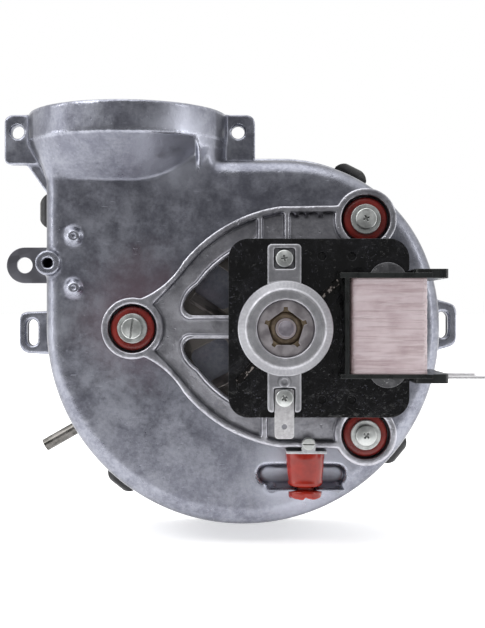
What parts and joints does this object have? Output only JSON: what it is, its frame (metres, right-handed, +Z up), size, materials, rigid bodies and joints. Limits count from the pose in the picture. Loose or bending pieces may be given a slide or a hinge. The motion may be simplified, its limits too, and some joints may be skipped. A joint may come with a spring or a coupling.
{
  "type": "flue gas extractor fan",
  "caption": "Gas boiler flue fan: cast scroll housing with round outlet collar, shaded-pole motor on a rubber-mounted three-legged bracket, and a bladed wheel inside.",
  "frame": {"origin": "centre of the inlet nozzle's mouth, on the rotor axis, in the plane that the rear cover mounts against", "axes": "+Y out of the inlet, away from the motor; +Z up, along the outlet collar's axis; +X right as seen from the motor side"},
  "size_m": [0.1857, 0.1241, 0.1609],
  "materials": {
    "cast_housing": "die-cast, satin",
    "cast_bracket": "die-cast, grainy satin",
    "cast_bridge": "die-cast, light satin",
    "zinc_sheet": "galvanised sheet",
    "wheel_sheet": "aluminised sheet",
    "fan_sheet": "dark stamped sheet",
    "screw_zinc": "bright zinc plate",
    "lamination": "black lacquer over sheet laminations",
    "rotor_steel": "turned lamination steel",
    "cage_aluminium": "cast",
    "shaft_steel": "ground steel",
    "bronze": "oil-filled sintered bronze",
    "copper": "copper",
    "spring_steel": "spring steel",
    "clip_black": "blackened spring steel",
    "bobbin_plastic": "glass-filled black plastic",
    "coil_tape": "pale pink adhesive tape",
    "silicone_brick": "matt silicone rubber",
    "silicone_orange": "glossy silicone rubber",
    "gasket_fibre": "ceramic fibre paper",
    "oil_felt": "oiled felt",
    "tinned_brass": "tin plate",
    "tube_brass": "nickel-plated brass"
  },
  "bodies": {
    "fan_body": {"front_housing": "cast_housing", "rear_cover": "zinc_sheet", "cover_gasket": "gasket_fibre", "cover_clip_upper_left": "clip_black", "cover_clip_upper_right": "clip_black", "cover_clip_lower_left": "clip_black", "cover_clip_lower_right": "clip_black", "pressure_tube": "tube_brass", "motor_bracket": "cast_bracket", "grommet_left": "silicone_brick", "grommet_upper_right": "silicone_brick", "grommet_lower_right": "silicone_brick", "grommet_sleeves": "screw_zinc", "mounting_washers": "screw_zinc", "mounting_screws": "screw_zinc", "stator_core": "lamination", "lamination_rivets": "lamination", "coil_core_leg": "lamination", "shading_ring_upper": "copper", "shading_ring_lower": "copper", "coil_bobbin": "bobbin_plastic", "coil_winding": "copper", "coil_tape": "coil_tape", "terminal_rear": "tinned_brass", "terminal_front": "tinned_brass", "front_bridge": "cast_bridge", "front_bearing": "bronze", "rear_bearing": "bronze", "front_oil_felt": "oil_felt", "rear_oil_felt": "oil_felt", "front_retainer": "spring_steel", "rear_retainer": "spring_steel", "motor_screws": "screw_zinc", "earth_tab": "tinned_brass", "stop_buffer": "silicone_orange", "buffer_hanger": "zinc_sheet", "buffer_screw": "screw_zinc"},
    "rotor": {"shaft": "shaft_steel", "rotor_core": "rotor_steel", "rotor_cage": "cage_aluminium", "thrust_washers": "bobbin_plastic", "cooling_fan": "fan_sheet", "cooling_fan_bush": "bronze", "impeller_back_plate": "wheel_sheet", "impeller_blades": "wheel_sheet", "impeller_front_ring": "wheel_sheet", "impeller_hub": "rotor_steel", "impeller_lock_washer": "spring_steel", "impeller_nut": "screw_zinc"}
  },
  "joints": [
    {"name": "rotor_spin", "type": "hinge", "parent": "fan_body", "child": "rotor", "pos_m": [0, 0, 0], "axis": [0, 1, 0], "continuous": true}
  ]
}
